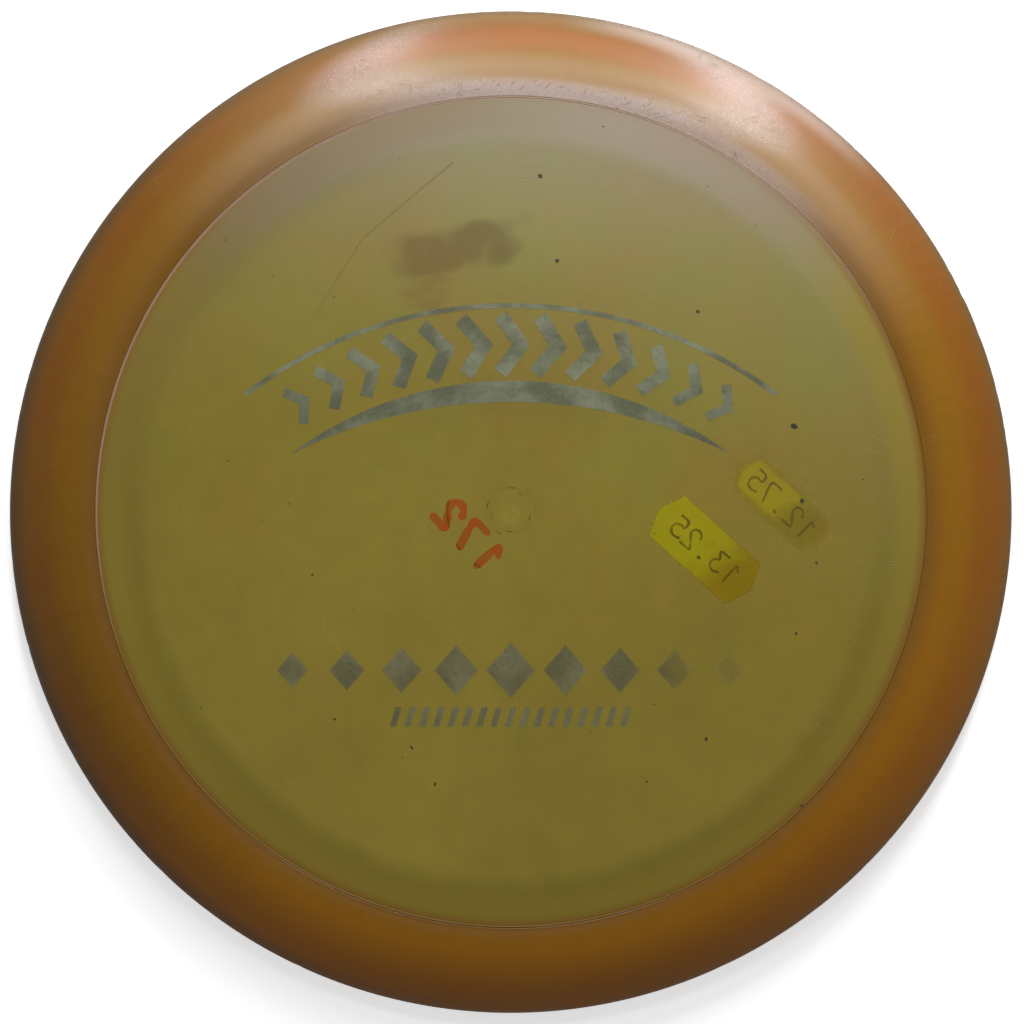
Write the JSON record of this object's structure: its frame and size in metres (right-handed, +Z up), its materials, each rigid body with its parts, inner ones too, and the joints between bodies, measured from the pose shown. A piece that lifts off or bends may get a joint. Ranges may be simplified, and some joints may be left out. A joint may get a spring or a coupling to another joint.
{
  "type": "flying disc",
  "caption": "Golf flying disc: a clear domed plate held in a wide wing-shaped amber rim, with silver foil stamps on top, price labels and a pen mark underneath.",
  "frame": {"origin": "centre of the rest plane: on the disc's axis, level with the foot of the rim", "axes": "+Z up along the disc's axis through the top of the plate; +Y towards the foil chevron band, +X to the right of one who reads the stamps from above"},
  "size_m": [0.211, 0.211, 0.0157],
  "materials": {
    "rim_plastic": "translucent amber polyurethane, glossy, with a reddish swirl, fine scratches and nicks at the nose",
    "plate_plastic": "translucent olive-yellow polyurethane, glossy, hazed by fine scratches, with a dark stain and specks",
    "foil": "thin hot-stamped silver foil, mottled and worn through in places",
    "label_paper": "matt fluorescent yellow paper with a self-adhesive back",
    "old_label_paper": "matt yellow paper, faded and rubbed thin",
    "label_ink": "faint dark stamp ink from a price gun",
    "pen_ink": "dried orange marker ink"
  },
  "bodies": {
    "root": {"rim": "rim_plastic", "flight_plate": "plate_plastic", "foil_chevrons": "foil", "foil_arc": "foil", "foil_crescent": "foil", "foil_diamonds": "foil", "foil_bars": "foil", "price_label": "label_paper", "price_ink": "label_ink", "old_price_label": "old_label_paper", "old_price_ink": "label_ink", "pen_mark": "pen_ink"}
  },
  "joints": []
}
